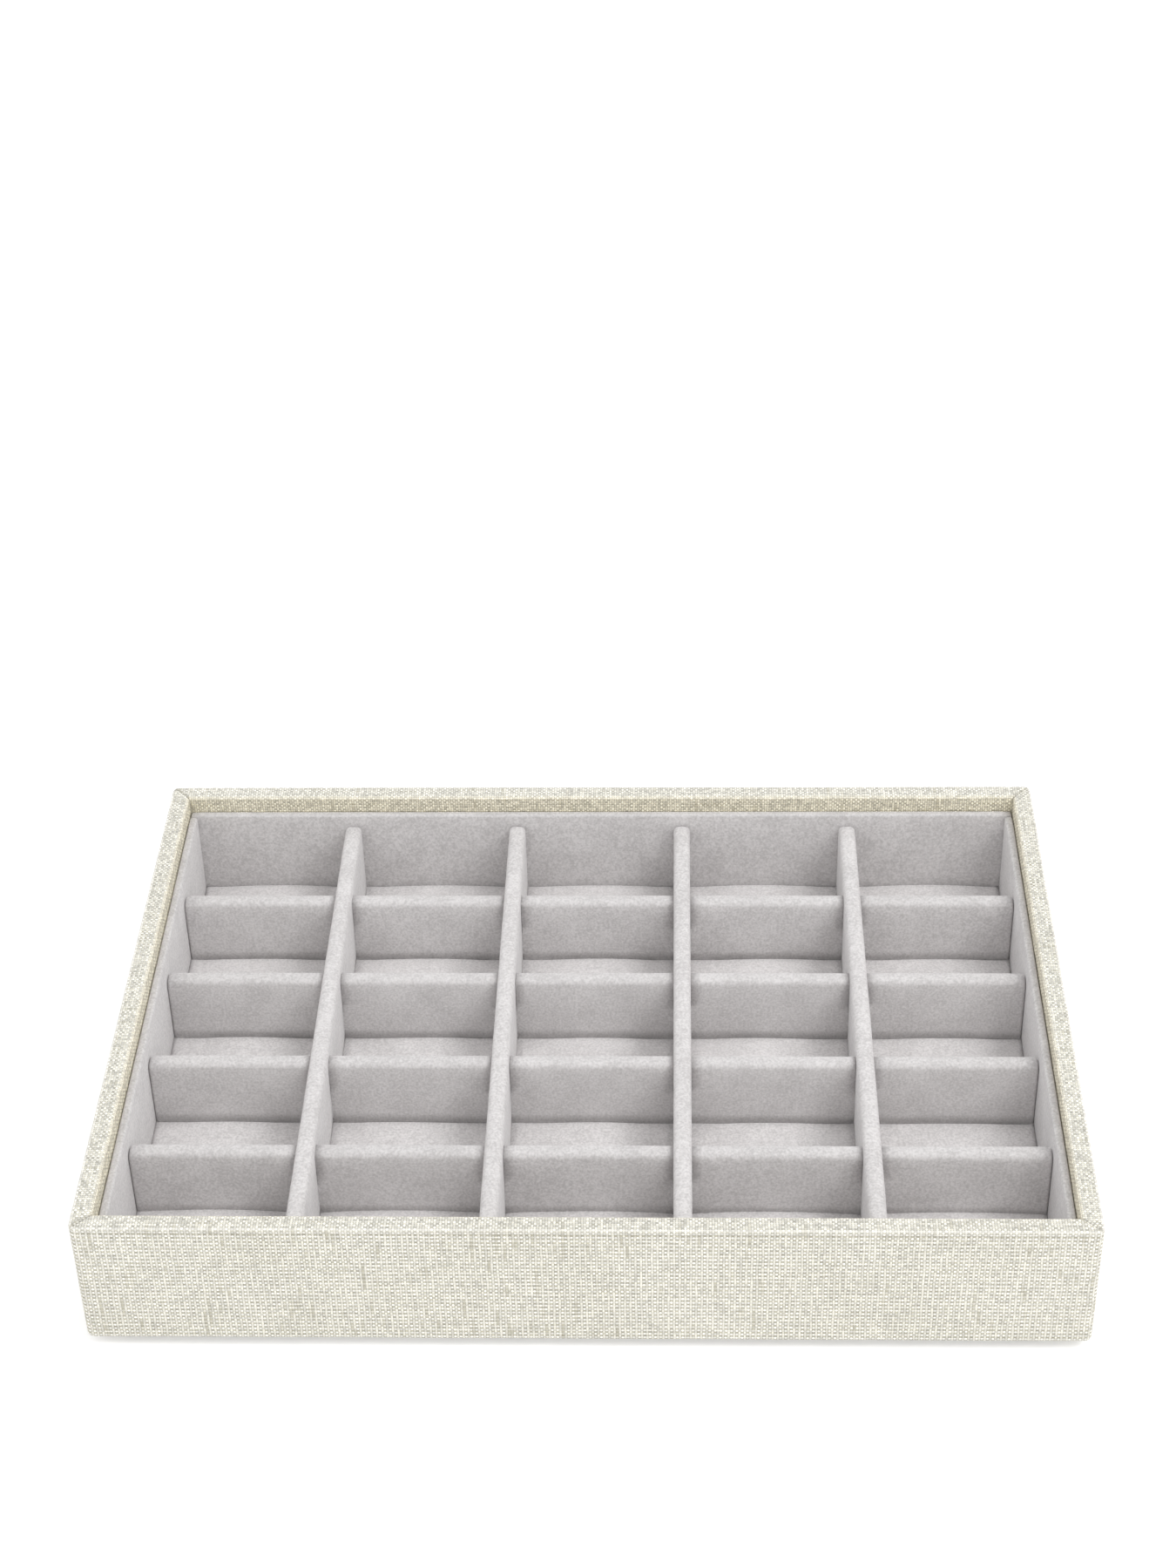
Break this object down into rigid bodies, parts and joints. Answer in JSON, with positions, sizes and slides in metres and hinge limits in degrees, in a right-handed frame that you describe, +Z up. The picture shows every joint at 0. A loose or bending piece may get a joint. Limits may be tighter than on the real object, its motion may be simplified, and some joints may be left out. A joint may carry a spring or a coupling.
{
  "type": "jewelry tray",
  "caption": "Stackable linen-wrapped board tray with a velvet-lined egg-crate of small open compartments and a raised velvet panel underneath.",
  "frame": {"origin": "middle of the face that the tray stands on", "axes": "+X right along the long side, +Y back, +Z up out of the tray"},
  "size_m": [0.25, 0.18, 0.041],
  "materials": {
    "wall_board": "raw fibreboard, sawn edges, hidden under the linen",
    "linen": "natural slubbed linen, plain weave, matte",
    "lining_card": "grey board, uncoated, hidden in the velvet sleeves",
    "pad_foam": "thin soft foam, hidden under the velvet",
    "velvet": "short-pile pale grey velvet, soft sheen"
  },
  "bodies": {
    "root": {"front_wall_board": "wall_board", "back_wall_board": "wall_board", "left_wall_board": "wall_board", "right_wall_board": "wall_board", "base_board": "wall_board", "linen_wrap": "linen", "base_infill_sheet": "lining_card", "stacking_base_card": "lining_card", "stacking_base_velvet": "velvet", "floor_card": "lining_card", "floor_foam": "pad_foam", "floor_velvet": "velvet", "front_liner_card": "lining_card", "front_liner_velvet": "velvet", "back_liner_card": "lining_card", "back_liner_velvet": "velvet", "left_liner_card": "lining_card", "left_liner_velvet": "velvet", "right_liner_card": "lining_card", "right_liner_velvet": "velvet", "column_divider_1_card": "lining_card", "column_divider_1_velvet": "velvet", "column_divider_2_card": "lining_card", "column_divider_2_velvet": "velvet", "column_divider_3_card": "lining_card", "column_divider_3_velvet": "velvet", "column_divider_4_card": "lining_card", "column_divider_4_velvet": "velvet", "row_divider_1_card": "lining_card", "row_divider_1_velvet": "velvet", "row_divider_2_card": "lining_card", "row_divider_2_velvet": "velvet", "row_divider_3_card": "lining_card", "row_divider_3_velvet": "velvet", "row_divider_4_card": "lining_card", "row_divider_4_velvet": "velvet"}
  },
  "joints": []
}
